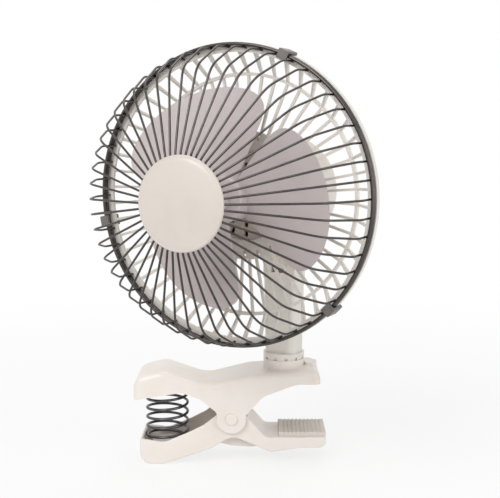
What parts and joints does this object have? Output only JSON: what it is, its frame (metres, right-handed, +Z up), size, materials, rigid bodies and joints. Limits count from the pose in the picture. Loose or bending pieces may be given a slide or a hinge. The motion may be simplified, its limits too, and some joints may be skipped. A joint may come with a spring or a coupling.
{
  "type": "clip fan",
  "caption": "Clip-on fan: a wire-caged three-bladed fan that tilts and swivels on a short neck over a sprung jaw clamp with two squeeze handles.",
  "frame": {"origin": "middle of the upper jaw pad's grip face, which rests on the shelf's top face", "axes": "+X in over the shelf, along the clamp from its handles to its nose; +Z up"},
  "size_m": [0.2012, 0.1995, 0.3241],
  "materials": {
    "ivory_plastic": "satin moulded",
    "ivory_nylon": "satin moulded",
    "blade_plastic": "satin moulded",
    "badge_plastic": "gloss",
    "chromed_wire": "bright plated",
    "zinc_steel": "zinc plated",
    "spring_steel": "oiled",
    "core_steel": "laminated",
    "shaft_steel": "ground",
    "bush_bronze": "sintered",
    "winding_copper": "enamelled",
    "bobbin_nylon": "moulded",
    "pad_rubber": "matt",
    "dark_plastic": "moulded"
  },
  "bodies": {
    "upper_jaw": {"upper_jaw": "ivory_plastic", "upper_jaw_pad": "pad_rubber", "pivot_pin": "zinc_steel", "pivot_push_nut": "spring_steel", "clamp_spring": "spring_steel"},
    "lower_jaw": {"lower_jaw": "ivory_plastic", "lower_jaw_pad": "pad_rubber"},
    "neck": {"neck": "ivory_plastic", "swivel_screw": "zinc_steel", "swivel_washer": "zinc_steel", "tilt_bolt": "zinc_steel", "tilt_nut": "zinc_steel"},
    "head": {"motor_housing": "ivory_plastic", "motor_cover": "ivory_plastic", "housing_screws": "zinc_steel", "rear_guard": "ivory_nylon", "guard_screws": "zinc_steel", "front_guard_wires": "chromed_wire", "guard_rim_rings": "chromed_wire", "guard_centre_plate": "zinc_steel", "guard_clips": "ivory_nylon", "front_badge": "badge_plastic", "badge_screws": "zinc_steel", "stator_core": "core_steel", "coil_bobbin": "bobbin_nylon", "coil_winding": "winding_copper", "front_bracket": "zinc_steel", "rear_bracket": "zinc_steel", "front_bush": "bush_bronze", "rear_bush": "bush_bronze", "motor_screws": "zinc_steel", "speed_switch": "dark_plastic", "cord_inlet": "dark_plastic", "tilt_washers": "bobbin_nylon"},
    "rotor": {"fan_blade": "blade_plastic", "blade_nut": "dark_plastic", "motor_shaft": "shaft_steel", "rotor_core": "core_steel", "thrust_washers": "dark_plastic"},
    "knob": {"speed_knob": "ivory_plastic", "switch_stem": "dark_plastic"}
  },
  "joints": [
    {"name": "clamp_hinge", "type": "hinge", "parent": "upper_jaw", "child": "lower_jaw", "pos_m": [-0.061, 0, -0.0263], "axis": [0, 1, 0], "range_deg": [-28, 18], "stiffness_Nm_per_rad": 2.5, "deforming": ["clamp_spring"]},
    {"name": "neck_swivel", "type": "hinge", "parent": "upper_jaw", "child": "neck", "pos_m": [-0.0192, 0, 0.0182], "axis": [0, 0, 1], "range_deg": [-155, 25]},
    {"name": "head_tilt", "type": "hinge", "parent": "neck", "child": "head", "pos_m": [-0.0192, 0, 0.0956], "axis": [-0.8949, 0.4462, 0], "range_deg": [-15, 60]},
    {"name": "blade_spin", "type": "hinge", "parent": "head", "child": "rotor", "pos_m": [-0.06021, -0.08224, 0.1526], "axis": [-0.4462, -0.8949, 0], "continuous": true},
    {"name": "speed_knob_turn", "type": "hinge", "parent": "head", "child": "knob", "pos_m": [-0.00581, 0.02685, 0.1526], "axis": [0.4462, 0.8949, 0], "range_deg": [0, 120]}
  ]
}
